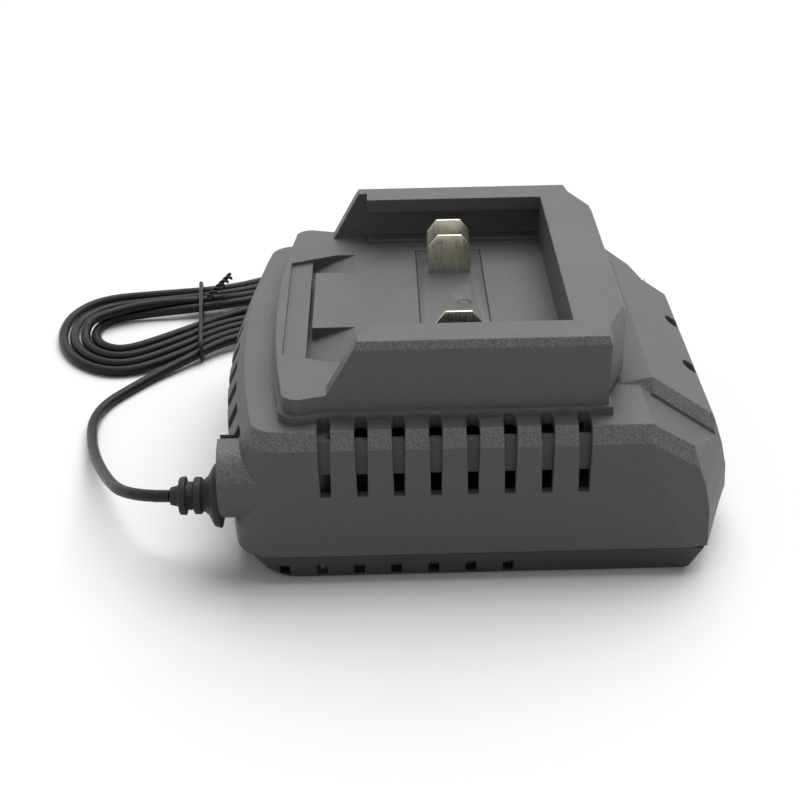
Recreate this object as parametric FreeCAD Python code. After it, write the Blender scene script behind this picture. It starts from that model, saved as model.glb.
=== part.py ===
"""Power tool battery charger: a desktop charger with a slide-in battery dock,
a thin mains lead tied in a hank, and a two-pin plug.

Millimetres. +X points to the status light end, -X to the cord end, -Y to the side
with the eight long vents, +Z up. The origin is on the table, under the middle of the case.
"""
import FreeCAD
import Part
import math
import os

V = FreeCAD.Vector

# Case levels, from the table up
BASE_FOOT = 1.2
PARTING_Z = 7.5
VENT_SLOPE_Z = 28.5
WALL_TOP_Z = 34.5
SHOULDER_Z = 38.2
PLINTH_Z = 40.4
DECK_Z = 44.2
RIM_Z = 56.6
SEAM = 0.4

# Case plan: half width, cord end, light end corner and nose, at the level named
WALL = 2.2
HALF_W_PARTING = 50.9
HALF_W_WALL = 49.9
HALF_W_SHOULDER = 47.6
CORD_END_X = -58.9
CORD_END_SHOULDER_X = -54.0
CORD_END_BOW_R = 250.0
NOSE_HALF_W = 30.5
SLOPE_START_X = 36.0
SLOPE_DROP = 0.70

# Raised light panel on the sloped end
PANEL_STEP = 2.9
PANEL_STEP_OUT = 2.5
PANEL_CREST_X = 38.8
PANEL_CREST_Z = 39.9
PANEL_END_X = 60.0
LIGHT_X = 52.0
LIGHT_Y = (13.2, -10.0)
LIGHT_HOLE_R = 2.3
LIGHT_DEPTH = 2.4
LIGHT_POST_Y = (5.6, -2.4)

# Battery dock
WALL_OUT_Y = 42.9
LIP_Y = 34.3
GROOVE_Y = 38.6
LIP_UNDER_Z = 53.1
LEDGE_Z = 45.4
LIP_START_X = -24.5
DOCK_END_X = 19.9
RIM_START_X = -26.6
RAMP_FOOT_X = -33.5
RIM_CORNER_X = 27.2
RIM_RIGHT_X = 32.4
RIM_BEVEL = 1.3
DECK_LEFT_X = -46.3

# Battery terminals
INSERT_X0 = -12.4
INSERT_X1 = 4.2
INSERT_HALF_Y = 30.2
BLADE_X = -4.2
BLADE_W = 10.6
BLADE_T = 0.8
BLADE_TOP_Z = 54.8
BLADE_OUT_Y = 25.2
BLADE_IN_Y = 17.6

# Vents
SIDE_SLOTS = 8
SIDE_PITCH = 8.0
SIDE_SLOT_X0 = -34.3
SLOT_TOP_W = 2.9
SLOT_END_W = 2.3
SLOT_END_Z = 22.9
SLOT_ROUND_Y = 44.6
BAFFLE_Y = 47.6
BAFFLE_TOP_Z = 35.6
END_SLOTS = 9
END_PITCH = 9.7
END_SLOT_W = 4.2
BASE_SLOTS = 7

# Mains lead
CORD_D = 2.8
CORD_R = CORD_D / 2
EXIT_Y = -41.6
EXIT_Z = 18.4
BOOT_END_X = -67.6
CORD_CORNERS = [(-79.8, -38.8, 16.6), (-89.0, -18.5, 8.6), (-97.0, 5.0, 2.8), (-99.5, 25.0, 1.5)]
PLUG_LEAD_CORNERS = [(-39.0, 83.5, 9.0), (-23.0, 81.5, 8.6)]
HANK_X = -66.0
HANK_Y = 79.0
HANK_TILT = math.radians(18.0)
HANK_START = -0.07
HANK_END = 4.0
HANK_LEFT = 54.5
HANK_RIGHT = 44.0
HANK_LEFT_BULGE = 47.0
HANK_RIGHT_BULGE = 36.0
HANK_WAIST = 15.5
HANK_PINCH = 0.62
STRAND_STEP = 3.3
TIE_X = -10.0
TIE_SLANT = 0.22
HANK_Z = CORD_R
TIE_LIFT = 2.2
TIE_R = 0.6
PLUG_BACK_X = 6.0
PLUG_LENGTH = 34.0
PLUG_HALF_W = 13.0
PLUG_HALF_H = 6.2
PLUG_Y = 74.0
PLUG_Z = 7.0
PIN_SPACING = 18.6
PIN_R = 2.0
PIN_ROOT_R = 1.4
PIN_ROOT = 8.0
PIN_LENGTH = 19.0

# Circuit board
BOARD_Z = 12.0
BOARD_T = 1.6
BOARD_X0 = -46.0
BOARD_X1 = 38.0
BOARD_HALF_Y = 38.0
SCREW_AT = [(-36.0, -44.0), (-36.0, 44.0), (33.0, -43.5), (33.0, 43.5)]
POST_AT = [(-41.0, -33.0), (-41.0, 33.0), (33.0, -33.0), (33.0, 33.0)]


def box(x0, x1, y0, y1, z0, z1):
    return Part.makeBox(x1 - x0, y1 - y0, z1 - z0, V(x0, y0, z0))


def rod(x, y, z0, z1, r):
    return Part.makeCylinder(r, z1 - z0, V(x, y, z0), V(0, 0, 1))


def rod_x(x0, x1, y, z, r):
    return Part.makeCylinder(r, x1 - x0, V(x0, y, z), V(1, 0, 0))


def face(points):
    return Part.Face(Part.makePolygon(list(points) + [points[0]]))


def prism_xz(points, y0, y1):
    return face([V(x, y0, z) for x, z in points]).extrude(V(0, y1 - y0, 0))


def prism_xy(points, z0, z1):
    return face([V(x, y, z0) for x, y in points]).extrude(V(0, 0, z1 - z0))


def tube(points, r):
    """A round tube on straight runs joined by tangent arcs."""
    pts = [V(*p) for p in points]
    edges = []
    radii = []
    last = pts[0]
    for i in range(1, len(pts) - 1):
        a = pts[i - 1] - pts[i]
        b = pts[i + 1] - pts[i]
        half_turn = (math.pi - a.getAngle(b)) / 2
        reach = 0.45 * min(a.Length, b.Length)
        bend = reach / math.tan(half_turn)
        a.normalize()
        b.normalize()
        start = pts[i] + a * reach
        end = pts[i] + b * reach
        inward = (a + b).normalize()
        middle = pts[i] + inward * (bend / math.cos(half_turn) - bend)
        edges.append(Part.makeLine(last, start))
        edges.append(Part.Arc(start, middle, end).toShape())
        radii.append(bend)
        last = end
    edges.append(Part.makeLine(last, pts[-1]))
    path = Part.Wire(edges)
    start_dir = (pts[1] - pts[0]).normalize()
    ring = Part.Wire(Part.makeCircle(r, pts[0], start_dir))
    solid = path.makePipeShell([ring], True, False)
    expected = math.pi * r * r * path.Length
    print("tube: length %.1f, least radius %.1f, volume / (section x length) %.4f"
          % (path.Length, min(radii), solid.Volume / expected))
    return solid, path.Length


def outline(z, half_w, left_x, corner_r, right_x, nose_x):
    """The case's plan at one level: bowed cord end, round corners, pointed light end."""
    bow = CORD_END_BOW_R
    cx = left_x + bow
    ky = half_w - corner_r
    kx = cx - math.sqrt((bow - corner_r) ** 2 - ky ** 2)
    ux = (kx - cx) / (bow - corner_r)
    uy = ky / (bow - corner_r)
    tx = cx + bow * ux
    ty = bow * uy
    diag = V(kx - cx, ky, 0).normalize()
    mid = V(kx, ky, 0) + (V(0, 1, 0) + diag).normalize() * corner_r
    near = [V(right_x, -half_w, z), V(kx, -half_w, z)]
    edges = [
        Part.makeLine(near[0], near[1]),
        Part.Arc(near[1], V(mid.x, -mid.y, z), V(tx, -ty, z)).toShape(),
        Part.Arc(V(tx, -ty, z), V(left_x, 0, z), V(tx, ty, z)).toShape(),
        Part.Arc(V(tx, ty, z), V(mid.x, mid.y, z), V(kx, half_w, z)).toShape(),
        Part.makeLine(V(kx, half_w, z), V(right_x, half_w, z)),
        Part.makeLine(V(right_x, half_w, z), V(nose_x, NOSE_HALF_W, z)),
        Part.makeLine(V(nose_x, NOSE_HALF_W, z), V(nose_x, -NOSE_HALF_W, z)),
        Part.makeLine(V(nose_x, -NOSE_HALF_W, z), V(right_x, -half_w, z)),
    ]
    return Part.Wire(edges)


def ruled(wires):
    return Part.makeLoft(wires, True, True)


def case_loft(inset):
    """The upper case's outer form, or its cavity when inset is the wall thickness."""
    levels = [
        (PARTING_Z, HALF_W_PARTING, CORD_END_X, 9.0, 49.7, 57.3),
        (9.6, 50.8, -58.9, 9.0, 49.7, 57.3),
        (10.3, 50.8, -58.9, 9.0, 49.6, 57.9),
        (16.0, 50.6, -58.8, 9.0, 49.3, 57.5),
        (22.0, 50.4, -58.7, 8.8, 48.0, 56.1),
        (VENT_SLOPE_Z, 50.1, -58.5, 8.6, 45.6, 53.9),
        (WALL_TOP_Z, HALF_W_WALL, -55.8, 7.8, 42.5, 51.0),
        (SHOULDER_Z, HALF_W_SHOULDER, CORD_END_SHOULDER_X, 6.0, 40.5, 49.0),
        (SHOULDER_Z + 4, HALF_W_SHOULDER, CORD_END_SHOULDER_X, 6.0, 38.5, 47.0),
    ]
    wires = []
    for z, w, left, r, right, nose in levels:
        wires.append(outline(z, w - inset, left + inset, r - inset / 2, right - inset, nose - inset))
    return ruled(wires)


def slope_block(drop):
    """The shoulder and its bevel running down the light end."""
    def section(x):
        run = x - SLOPE_START_X
        z = SHOULDER_Z - drop - run * SLOPE_DROP
        narrow = run * 0.16 + drop
        bevel = WALL_TOP_Z - SHOULDER_Z
        pts = [(-HALF_W_PARTING - 6 + drop, -40), (-HALF_W_WALL + narrow, z + bevel),
               (-HALF_W_SHOULDER + narrow, z), (HALF_W_SHOULDER - narrow, z),
               (HALF_W_WALL - narrow, z + bevel), (HALF_W_PARTING + 6 - drop, -40)]
        return Part.makePolygon([V(x, y, h) for y, h in pts + [pts[0]]])
    return ruled([section(SLOPE_START_X), section(62.0)])


def panel_block(drop):
    """The raised panel that carries the lights: a crest, then a slope."""
    def section(x, z):
        low = z - PANEL_STEP - drop
        top = z - drop
        pts = [(-NOSE_HALF_W - PANEL_STEP_OUT, -10), (-NOSE_HALF_W - PANEL_STEP_OUT, low),
               (-NOSE_HALF_W + drop / 2, top), (NOSE_HALF_W - drop / 2, top),
               (NOSE_HALF_W + PANEL_STEP_OUT, low), (NOSE_HALF_W + PANEL_STEP_OUT, -10)]
        return Part.makePolygon([V(x, y, h) for y, h in pts + [pts[0]]])
    end_z = PANEL_CREST_Z - (PANEL_END_X - PANEL_CREST_X) * SLOPE_DROP
    return ruled([section(30.0, SHOULDER_Z - 0.2), section(PANEL_CREST_X, PANEL_CREST_Z),
                  section(PANEL_END_X, end_z)])


def case_form(drop):
    flat = box(-70, SLOPE_START_X, -60, 60, -10, SHOULDER_Z - drop)
    roof = flat.fuse(slope_block(drop)).fuse(panel_block(drop))
    return case_loft(drop).common(roof)


def rim_plan(z, inset):
    w = WALL_OUT_Y - inset
    pts = [(-40, -w), (RIM_CORNER_X - inset * 0.6, -w), (RIM_CORNER_X + 0.9 - inset * 0.8, -w + 5.5 - inset),
           (RIM_RIGHT_X - inset, -28.0), (RIM_RIGHT_X - inset, 28.0),
           (RIM_CORNER_X + 0.9 - inset * 0.8, w - 5.5 + inset), (RIM_CORNER_X - inset * 0.6, w), (-40, w)]
    return Part.makePolygon([V(x, y, z) for x, y in pts + [pts[0]]])


def dock_walls():
    """Far, near and end walls of the dock, with the bevel along their outer top edge."""
    bevel_z = RIM_Z - RIM_BEVEL - 0.4
    plan = ruled([rim_plan(PLINTH_Z, 0.0), rim_plan(bevel_z, 0.0)])
    plan = plan.fuse(ruled([rim_plan(bevel_z, 0.0), rim_plan(RIM_Z, 1.0)]))
    side = prism_xz([(RAMP_FOOT_X, PLINTH_Z), (RAMP_FOOT_X, DECK_Z), (RIM_START_X, RIM_Z),
                     (40, RIM_Z), (40, PLINTH_Z)], -50, 50)
    walls = plan.common(side)
    bay = box(-60, DOCK_END_X, -LIP_Y, LIP_Y, DECK_Z, 70)
    groove = box(-60, DOCK_END_X, -GROOVE_Y, GROOVE_Y, LEDGE_Z, LIP_UNDER_Z)
    mouth = box(-60, LIP_START_X, -GROOVE_Y, GROOVE_Y, DECK_Z, 70)
    return walls.cut(bay.fuse(groove).fuse(mouth))


def deck_plan(z, grow):
    """The low platform under the dock, bowed at the cord end like the case."""
    g = grow
    half = 40.4
    pts_near = [(RIM_CORNER_X + g, -WALL_OUT_Y - g), (RAMP_FOOT_X, -WALL_OUT_Y - g), (-39.2, -44.4 - g)]
    start = V(pts_near[-1][0], pts_near[-1][1], z)
    end_y = half
    left = DECK_LEFT_X - g
    edge_x = left + 2.9
    edges = [Part.makeLine(V(*pts_near[0], z), V(*pts_near[1], z)), Part.makeLine(V(*pts_near[1], z), start)]
    edges.append(Part.Arc(start, V(edge_x + 1.1, -43.4 - g * 0.7, z), V(edge_x, -end_y, z)).toShape())
    edges.append(Part.Arc(V(edge_x, -end_y, z), V(left, 0, z), V(edge_x, end_y, z)).toShape())
    far = V(start.x, -start.y, z)
    edges.append(Part.Arc(V(edge_x, end_y, z), V(edge_x + 1.1, 43.4 + g * 0.7, z), far).toShape())
    edges.append(Part.makeLine(far, V(RAMP_FOOT_X, WALL_OUT_Y + g, z)))
    edges.append(Part.makeLine(V(RAMP_FOOT_X, WALL_OUT_Y + g, z), V(RIM_CORNER_X + g, WALL_OUT_Y + g, z)))
    corner_x = RIM_CORNER_X + g
    edges.append(Part.makeLine(V(corner_x, WALL_OUT_Y + g, z), V(corner_x, -WALL_OUT_Y - g, z)))
    return Part.Wire(edges)


def deck():
    low = Part.Face(deck_plan(SHOULDER_Z - 2, 0.9)).extrude(V(0, 0, PLINTH_Z - SHOULDER_Z + 2))
    top = Part.Face(deck_plan(SHOULDER_Z - 2, 0.0)).extrude(V(0, 0, DECK_Z - SHOULDER_Z + 2))
    return low.fuse(top)


def dock_entrance():
    """The cut in front of the dock: two falling ramps beside a flat tongue, and a latch pad."""
    mouth = [(-27.5, -28.2), (-32.8, -28.2), (-43.9, -24.0), (-43.9, 24.0), (-32.8, 28.2), (-27.5, 28.2)]
    plan = prism_xy(mouth, DECK_Z - 4, DECK_Z + 1)
    fall = prism_xz([(-27.5, DECK_Z), (-38.6, DECK_Z - 3.6), (-38.6, DECK_Z - 0.9), (-43.9, DECK_Z - 0.9),
                     (-43.9, DECK_Z + 1), (-27.5, DECK_Z + 1)], -30, 30)
    tongue = box(-37.6, -27, -11.6, 17.8, DECK_Z - 4, DECK_Z + 1)
    return plan.common(fall).cut(tongue)


def side_slots():
    """Eight vents on each long side, over the shoulder, the bevel and the wall."""
    top_z = SHOULDER_Z + 1
    cuts = []
    for i in range(SIDE_SLOTS):
        x = SIDE_SLOT_X0 + i * SIDE_PITCH
        for side in (-1, 1):
            y_in = side * BAFFLE_Y
            y_out = side * 56
            y_round = side * SLOT_ROUND_Y
            pts = [V(x - SLOT_END_W / 2, y_in, SLOT_END_Z), V(x + SLOT_END_W / 2, y_in, SLOT_END_Z),
                   V(x + SLOT_TOP_W / 2, y_in, top_z), V(x - SLOT_TOP_W / 2, y_in, top_z)]
            cuts.append(face(pts).extrude(V(0, y_out - y_in, 0)))
            half = SLOT_TOP_W / 2
            y0, y1 = sorted((y_round, y_in + side))
            cuts.append(box(x - half, x + half, y0, y1, BAFFLE_TOP_Z, top_z))
            cuts.append(rod(x, y_round, BAFFLE_TOP_Z, top_z, half))
    return cuts


def end_slots():
    """Slots across the sloping band of the cord end."""
    cuts = []
    for i in range(END_SLOTS):
        y = (i - (END_SLOTS - 1) / 2) * END_PITCH
        half = END_SLOT_W / 2
        cuts.append(box(-66, -50.5, y - half, y + half, VENT_SLOPE_Z - 1.2, WALL_TOP_Z - 0.6))
    return cuts


def baffle():
    """A skirt inside each long side, seen grey through the vents."""
    parts = []
    for side in (-1, 1):
        y0, y1 = sorted((side * (BAFFLE_Y - 1.4), side * (BAFFLE_Y + 0.7)))
        parts.append(box(-39, 27, y0, y1, 27.0, BAFFLE_TOP_Z))
    return parts


def cord_boss():
    ellipse = Part.Ellipse(V(0, 0, 0), 9.4, 8.7).toShape()
    ring = Part.Wire(ellipse)
    ring.rotate(V(0, 0, 0), V(0, 1, 0), 90)
    ring.translate(V(-57.8, EXIT_Y, EXIT_Z + 5.0))
    return Part.Face(ring).extrude(V(14, 0, 0))


def screw_boss_upper(x, y):
    return rod(x, y, PARTING_Z + 0.2, SHOULDER_Z - 1, 3.0)


def panel_point(y):
    """The point of the sloped panel over a light, and the direction square to the panel."""
    angle = math.atan(SLOPE_DROP)
    z = PANEL_CREST_Z - (LIGHT_X - PANEL_CREST_X) * SLOPE_DROP
    return V(LIGHT_X, y, z), V(math.sin(angle), 0, math.cos(angle))


def light_hole(y):
    point, axis = panel_point(y)
    return Part.makeCylinder(LIGHT_HOLE_R, 6, point - axis * 4, axis)


def light_board_post(y):
    """A peg under the panel that the little light board is pressed on."""
    point, axis = panel_point(y)
    return Part.makeCylinder(1.1, 6.4, point - axis * 7.6, axis)


def upper_housing():
    outer = case_form(0.0)
    cavity = case_form(WALL).cut(box(-70, 70, -60, 60, -20, PARTING_Z - 1))
    shell = outer.cut(cavity)
    shell = shell.cut(box(-70, 70, -48.6, 48.6, PARTING_Z - 2, PARTING_Z + 0.01).common(cavity))
    solids = [deck(), dock_walls()] + baffle() + [cord_boss().common(outer.fuse(cord_boss()))]
    solids += [screw_boss_upper(x, y) for x, y in SCREW_AT]
    solids += [light_board_post(y) for y in LIGHT_POST_Y]
    body = shell
    for s in solids:
        body = body.fuse(s)
    cuts = [box(-25.5, RIM_CORNER_X - 1, -40.2, 40.2, SHOULDER_Z - 6, DECK_Z - 2.6)]
    cuts.append(box(-42.4, -25.5, -40.2, 40.2, SHOULDER_Z - 6, DECK_Z - 5.6))
    cuts.append(box(DOCK_END_X + WALL, RIM_RIGHT_X - WALL, -26, 26, SHOULDER_Z - 6, RIM_Z - WALL))
    cuts.append(dock_entrance())
    cuts += side_slots()
    cuts += end_slots()
    cuts += [light_hole(y) for y in LIGHT_Y]
    cuts.append(rod_x(-70, -54, EXIT_Y, EXIT_Z, 3.4))
    cuts.append(rod_x(-55.3, -42, EXIT_Y, EXIT_Z, 4.9))
    cuts.append(box(INSERT_X0, INSERT_X1, -INSERT_HALF_Y, INSERT_HALF_Y, DECK_Z - 4, DECK_Z + 1))
    cuts += [rod(x, y, PARTING_Z - 1, PARTING_Z + 14, 1.3) for x, y in SCREW_AT]
    return body.cut(Part.makeCompound(cuts)).removeSplitter()


def lower_form(inset):
    levels = [
        (0.0, 48.0, -52.6, 8.0, 45.6, 53.0),
        (BASE_FOOT, 49.0, -54.0, 8.6, 46.6, 54.2),
        (PARTING_Z - SEAM, 50.5, -58.2, 9.0, 49.2, 56.9),
    ]
    wires = []
    for z, w, left, r, right, nose in levels:
        wires.append(outline(z, w - inset, left + inset, r - inset / 2, right - inset, nose - inset))
    return ruled(wires)


def lower_housing():
    outer = lower_form(0.0)
    cavity = lower_form(WALL).common(box(-70, 70, -60, 60, WALL, 20))
    tray = outer.cut(cavity)
    tongue_out = outline(PARTING_Z - SEAM - 1.5, HALF_W_PARTING - 2.6, CORD_END_X + 2.6, 7.6, 46.9, 54.5)
    tongue_in = outline(PARTING_Z - SEAM - 1.5, HALF_W_PARTING - 3.8, CORD_END_X + 3.8, 7.0, 45.7, 53.3)
    tongue = Part.Face(tongue_out).extrude(V(0, 0, 3.2)).cut(Part.Face(tongue_in).extrude(V(0, 0, 3.2)))
    body = tray.fuse(tongue)
    for x, y in SCREW_AT:
        body = body.fuse(rod(x, y, WALL - 0.2, PARTING_Z, 3.4))
    for x, y in POST_AT:
        body = body.fuse(rod(x, y, WALL - 0.2, BOARD_Z, 2.6))
    cuts = []
    for x, y in SCREW_AT:
        cuts.append(rod(x, y, -1, 20, 1.7))
        cuts.append(rod(x, y, -1, 2.25, 3.0))
    for x, y in POST_AT:
        cuts.append(rod(x, y, 5.0, 20, 1.0))
    for i in range(BASE_SLOTS):
        x = -44.3 + i * 8.35
        for side in (-1, 1):
            y0, y1 = sorted((side * 44, side * 54))
            cuts.append(box(x - 1.2, x + 1.2, y0, y1, 1.0, 4.4))
            y0, y1 = sorted((side * 38, side * 46))
            cuts.append(box(x - 1.2, x + 1.2, y0, y1, -1, 3.0))
    return body.cut(Part.makeCompound(cuts)).removeSplitter()


def terminal_block():
    x0, x1, half = INSERT_X0, INSERT_X1, INSERT_HALF_Y
    plate = box(x0 + 0.1, x1 - 0.1, 0.1 - half, half - 0.1, DECK_Z - 2.6, DECK_Z - 0.15)
    flange = box(x0 - 2, x1 + 2, -half - 2, half + 2, DECK_Z - 4.4, DECK_Z - 2.6)
    body = plate.fuse(flange)
    for y in (BLADE_OUT_Y, BLADE_IN_Y, -BLADE_OUT_Y):
        half_t = BLADE_T / 2
        body = body.cut(box(BLADE_X - BLADE_W / 2, BLADE_X + BLADE_W / 2, y - half_t, y + half_t, 30, 60))
    dimple = Part.makeCone(1.7, 1.2, 0.5, V(-1.4, 0.5, DECK_Z - 0.15), V(0, 0, -1))
    return body.cut(dimple).removeSplitter()


def blade(y, top):
    """A flat nickel blade with its upper corners cut off, and a solder tail below."""
    half = BLADE_W / 2
    pts = [(-half, 38.0), (-half, top - 3.0), (-half + 2.3, top), (half - 2.3, top), (half, top - 3.0),
           (half, 38.0), (1.6, 38.0), (1.6, 34.0), (-1.6, 34.0), (-1.6, 38.0)]
    return prism_xz([(BLADE_X + x, z) for x, z in pts], y - BLADE_T / 2, y + BLADE_T / 2)


def circuit_board():
    body = box(BOARD_X0, BOARD_X1, -BOARD_HALF_Y, BOARD_HALF_Y, BOARD_Z, BOARD_Z + BOARD_T)
    for x, y in POST_AT:
        body = body.cut(rod(x, y, 0, 30, 1.6))
    return body


TOP = BOARD_Z + BOARD_T


def transformer_core():
    outer = box(-14, 14, -1, 25, TOP + 1.0, TOP + 19.5)
    windows = box(-9.5, -4.5, -2, 26, TOP + 5, TOP + 15.5)
    windows = windows.fuse(box(4.5, 9.5, -2, 26, TOP + 5, TOP + 15.5))
    return outer.cut(windows)


def transformer_bobbin():
    winding = box(-9.3, 9.3, -4.0, 28.0, TOP + 5.2, TOP + 15.3)
    core_space = box(-4.6, 4.6, -1.1, 25.1, TOP + 4, TOP + 17)
    flange = box(-13, 13, -4.0, -1.2, TOP, TOP + 5.3).fuse(box(-13, 13, 25.2, 28.0, TOP, TOP + 5.3))
    return winding.cut(core_space).fuse(flange).removeSplitter()


def capacitor(x, y, r, h):
    body = rod(x, y, TOP, TOP + h, r)
    groove = rod(x, y, TOP + h * 0.1, TOP + h * 0.1 + 0.8, r + 1).cut(rod(x, y, TOP, TOP + h, r - 0.4))
    score = box(x - r * 0.7, x + r * 0.7, y - 0.2, y + 0.2, TOP + h - 0.3, TOP + h + 1)
    return body.cut(groove).cut(score)


def heat_sink():
    body = box(24.0, 26.0, -30, 6, TOP, TOP + 22)
    for i in range(6):
        y = -28.5 + i * 6.6
        body = body.fuse(box(25.9, 32.0, y - 0.6, y + 0.6, TOP, TOP + 20))
    return body.removeSplitter()


def transistor():
    body = box(20.6, 23.9, -17, -7, TOP + 5, TOP + 14)
    tab = box(22.6, 23.9, -17, -7, TOP + 14, TOP + 20)
    body = body.fuse(tab).cut(rod_x(20, 25, -12, TOP + 17, 1.6))
    for i in range(3):
        y = -14.5 + i * 2.5
        body = body.fuse(box(21.6, 22.2, y - 0.4, y + 0.4, TOP, TOP + 5.1))
    return body.removeSplitter()


def bridge_rectifier():
    body = box(-36, -20, -8.0, -4.4, TOP + 2, TOP + 14).cut(rod(-36, -8, 0, 60, 1.2))
    for i in range(4):
        body = body.fuse(box(-34.4 + i * 4.0, -33.5 + i * 4.0, -6.6, -5.8, TOP, TOP + 2.1))
    return body.removeSplitter()


def fuse_link():
    body = rod(-39, -14, TOP, TOP + 8, 4.2)
    return body.cut(rod(-39, -14, TOP + 7.4, TOP + 9, 2.6))


def choke():
    ring = Part.makeTorus(6.2, 3.0, V(-26, -22, TOP + 9.2), V(0, 1, 0))
    seat = box(-31, -21, -24.6, -19.4, TOP, TOP + 3.4)
    return ring.fuse(seat).removeSplitter()


def led_board():
    """A thin board parallel to the sloped panel, with a hole for each peg."""
    middle, axis = panel_point((LIGHT_Y[0] + LIGHT_Y[1]) / 2)
    body = Part.makeBox(6.4, 32.0, 1.2, V(-3.2, -16.0, -0.6))
    body.rotate(V(0, 0, 0), V(0, 1, 0), math.degrees(math.atan(SLOPE_DROP)))
    body.translate(middle - axis * 6.9)
    for y in LIGHT_POST_Y:
        point, axis = panel_point(y)
        body = body.cut(Part.makeCylinder(1.15, 12, point - axis * 10, axis))
    return body


def status_light(y):
    point, axis = panel_point(y)
    tip = point - axis * LIGHT_DEPTH
    body = Part.makeCylinder(1.5, 3.2, tip - axis * 3.2, axis)
    body = body.fuse(Part.makeSphere(1.5, tip, axis, 0, 90, 360))
    return body.fuse(Part.makeCylinder(1.9, 1.0, tip - axis * 3.9, axis)).removeSplitter()


def leads(routes, r):
    return Part.makeCompound([tube(route, r)[0] for route in routes])


def screw(x, y, z0, length, head_r, shank_r):
    head = rod(x, y, z0, z0 + 1.6, head_r)
    drive = box(x - head_r * 0.6, x + head_r * 0.6, y - 0.35, y + 0.35, z0 - 1, z0 + 0.7)
    drive = drive.fuse(box(x - 0.35, x + 0.35, y - head_r * 0.6, y + head_r * 0.6, z0 - 1, z0 + 0.7))
    return head.fuse(rod(x, y, z0 + 1.5, z0 + length, shank_r)).cut(drive).removeSplitter()


def strain_relief():
    """The rubber boot: a collar on the boss, a flare, two ribs and a tail."""
    axis_y = EXIT_Y
    profile = [(-52.5, 0.0), (-52.5, 4.6), (-55.2, 4.6), (-55.2, 3.2), (-57.9, 3.2), (-57.9, 7.4),
               (-59.4, 7.0), (-60.8, 4.4), (-61.9, 3.5), (-62.4, 4.2), (-63.9, 4.2), (-64.1, 3.2),
               (-65.6, 3.2), (-65.8, 4.4), (-67.2, 4.2), (-67.6, 2.4), (-69.4, 2.0), (-69.4, 0.0)]
    ring = face([V(x, axis_y, EXIT_Z + r) for x, r in profile])
    body = ring.revolve(V(0, axis_y, EXIT_Z), V(1, 0, 0), 360)
    for side in (-1, 1):
        mid = axis_y + side * 3.6
        body = body.cut(box(-65.5, -64.2, mid - 0.9, mid + 0.9, EXIT_Z - 1.6, EXIT_Z + 1.6))
    return body.cut(rod_x(-72, -50, axis_y, EXIT_Z, CORD_R)).removeSplitter()


def hank_loop(m):
    """One loop of the hank's outermost line, pinched where the tie holds it."""
    turn = 2 * math.pi * (m + 0.75)
    u = math.cos(turn)
    length = HANK_LEFT if u < 0 else HANK_RIGHT
    bulge = HANK_LEFT_BULGE if u < 0 else HANK_RIGHT_BULGE
    pinch = math.exp(-(u / HANK_PINCH) ** 2)
    return length * u, math.sin(turn) * (bulge - (bulge - HANK_WAIST) * pinch)


def hank_point(m):
    """A point m turns from the near side of the waist. Each turn lies one step inside the last."""
    step = 1e-4
    x, y = hank_loop(m)
    x0, y0 = hank_loop(m - step)
    x1, y1 = hank_loop(m + step)
    run = math.hypot(x1 - x0, y1 - y0)
    x -= (y1 - y0) / run * STRAND_STEP * m
    y += (x1 - x0) / run * STRAND_STEP * m
    z = HANK_Z + TIE_LIFT * math.exp(-(x / HANK_RIGHT / 0.5) ** 2)
    c = math.cos(HANK_TILT)
    s = math.sin(HANK_TILT)
    return V(HANK_X + x * c - y * s, HANK_Y + x * s + y * c, z)


def hank_tangent(m):
    step = 1e-4
    return (hank_point(m + step) - hank_point(m - step)).normalize()


def biarc(p0, t0, p1, t1):
    """Two arcs that leave p0 along t0 and reach p1 along t1."""
    v = p1 - p0
    t = t0 + t1
    a = 2 * (1 - t0.dot(t1))
    b = v.dot(t)
    c = v.dot(v)
    d = c / (2 * b) if abs(a) < 1e-9 else (-b + math.sqrt(b * b + a * c)) / a
    joint = (p0 + p1 + (t0 - t1) * d) * 0.5
    arcs = []
    for start, direction, end in ((p0, t0, joint), (p1, t1 * -1, joint)):
        chord = end - start
        cos_half = chord.dot(direction) / chord.Length
        side = chord * (1 / chord.Length) * cos_half - direction
        if side.Length < 1e-7:
            arcs.append(Part.makeLine(start, end))
            continue
        half = math.acos(max(-1.0, min(1.0, cos_half)))
        bulge = chord.Length / 2 * math.tan(half / 2)
        normal = (direction - chord * (chord.dot(direction) / chord.dot(chord))).normalize()
        arcs.append(Part.Arc(start, (start + end) * 0.5 + normal * bulge, end).toShape())
    return arcs


def hank_path():
    per_turn = 16
    edges = []
    steps = round((HANK_END - HANK_START) * per_turn)
    for i in range(steps):
        m0 = HANK_START + (HANK_END - HANK_START) * i / steps
        m1 = HANK_START + (HANK_END - HANK_START) * (i + 1) / steps
        edges += biarc(hank_point(m0), hank_tangent(m0), hank_point(m1), hank_tangent(m1))
    return Part.Wire(edges)


def hank_gap():
    """The least clear distance between strands of the hank, measured on points."""
    per_turn = 72
    count = int((HANK_END - HANK_START) * per_turn) + 1
    pts = [hank_point(HANK_START + i / per_turn) for i in range(count)]
    least = 1e9
    for i, p in enumerate(pts):
        for q in pts[i + per_turn // 4:]:
            least = min(least, (p - q).Length)
    return least - CORD_D


def cord_hank():
    path = hank_path()
    ring = Part.Wire(Part.makeCircle(CORD_R, hank_point(HANK_START), hank_tangent(HANK_START)))
    solid = path.makePipeShell([ring], True, False)
    print("hank: length %.1f, least gap %.2f, volume ratio %.4f"
          % (path.Length, hank_gap(), solid.Volume / (math.pi * CORD_R ** 2 * path.Length)))
    return solid


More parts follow.
